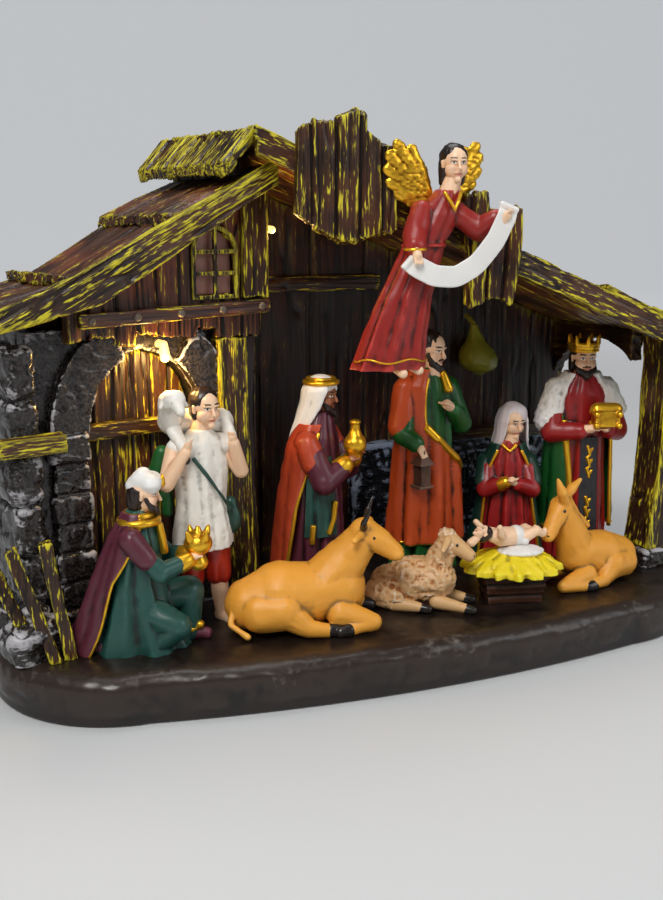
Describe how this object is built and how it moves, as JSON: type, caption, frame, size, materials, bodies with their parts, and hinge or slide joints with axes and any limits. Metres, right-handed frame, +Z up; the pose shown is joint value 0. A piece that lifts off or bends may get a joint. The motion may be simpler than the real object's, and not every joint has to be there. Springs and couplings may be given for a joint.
{
  "type": "lit nativity stable",
  "caption": "Table-top nativity stable of painted cast resin with lit lamps, a broken plank roof, an arched stone doorway and glued figures, battery powered.",
  "frame": {"origin": "middle of the footprint, on the surface that the base stands on", "axes": "+X to the right along the front, -Y out of the front, +Z up"},
  "size_m": [0.3, 0.134, 0.2105],
  "materials": {
    "resin_timber": "cast resin painted dark brown, dry-brushed yellow",
    "resin_stone": "cast resin painted dark grey, brushed silver-white",
    "resin_base": "cast resin painted brown-black, half gloss",
    "dark_rivet": "cast nail heads, painted dark",
    "pane_paint": "painted brown",
    "gourd_paint": "painted green and yellow",
    "plum_green_paint": "painted cast resin",
    "fleece_white_paint": "painted cast resin",
    "rust_plum_paint": "painted cast resin",
    "orange_cloak_paint": "painted cast resin",
    "dark_green_paint": "painted cast resin",
    "red_green_paint": "painted cast resin",
    "ochre_hide_paint": "painted cast resin",
    "beige_fleece_paint": "painted cast resin",
    "crib_brown_paint": "painted cast resin",
    "straw_yellow_paint": "painted cast resin",
    "flesh_paint": "painted cast resin",
    "red_gold_paint": "painted cast resin",
    "banner_white_paint": "painted cast resin, bare",
    "lamp_lens": "lit warm lamp",
    "lead_sheath": "thin sheathed wire",
    "black_plastic": "moulded black",
    "switch_plastic": "moulded black",
    "cell_wrap": "plain wrapped cell",
    "contact_steel": "nickel-plated"
  },
  "bodies": {
    "stable": {"angel_banner": "banner_white_paint", "angel_figure": "red_gold_paint", "arch_door": "resin_timber", "arch_voussoirs": "resin_stone", "back_ledge": "resin_timber", "back_wall": "resin_timber", "back_wall_plinth": "resin_stone", "base_slab": "resin_base", "battery_box": "black_plastic", "battery_cells": "cell_wrap", "battery_contacts": "contact_steel", "broken_board_left": "resin_timber", "broken_board_right": "resin_timber", "crib": "crib_brown_paint", "crib_straw": "straw_yellow_paint", "donkey_figure": "ochre_hide_paint", "door_batten": "resin_timber", "father_figure": "orange_cloak_paint", "gable_corner_board": "resin_timber", "gable_panel": "resin_timber", "gourd": "gourd_paint", "infant_figure": "flesh_paint", "jamb_stones": "resin_stone", "jar_king_figure": "rust_plum_paint", "kneeling_king_figure": "plum_green_paint", "lamp_leads": "lead_sheath", "lamps": "lamp_lens", "leaning_stakes": "resin_timber", "left_bargeboard": "resin_timber", "left_boulders": "resin_stone", "left_post": "resin_timber", "left_rail_board": "resin_timber", "left_rear_wall": "resin_timber", "left_roof_lower_course": "resin_timber", "left_roof_middle_course": "resin_timber", "left_roof_upper_course": "resin_timber", "left_side_wall": "resin_stone", "left_stone_wall": "resin_stone", "mother_figure": "dark_green_paint", "ox_figure": "ochre_hide_paint", "partition_wall": "resin_timber", "pier_stones": "resin_stone", "ridge_cap_board": "resin_timber", "right_bargeboard": "resin_timber", "right_post": "resin_timber", "right_post_plinth": "resin_stone", "right_roof_deck": "resin_timber", "right_roof_shingle": "resin_timber", "sheep_figure": "beige_fleece_paint", "shepherd_figure": "fleece_white_paint", "side_arch_header": "resin_timber", "standing_king_figure": "red_green_paint", "strap_beam": "resin_timber", "strap_rivets": "dark_rivet", "switch_body": "black_plastic", "tie_beam": "resin_timber", "window_frame": "resin_timber", "window_pane": "pane_paint"},
    "battery_cover": {"battery_cover": "black_plastic"},
    "switch_slider": {"switch_slider": "switch_plastic"}
  },
  "joints": [
    {"name": "cover_slide", "type": "slide", "parent": "stable", "child": "battery_cover", "axis": [0, 1, 0], "range_m": [0, 0.034]},
    {"name": "switch_slide", "type": "slide", "parent": "stable", "child": "switch_slider", "axis": [1, 0, 0], "range_m": [0, 0.003]}
  ]
}
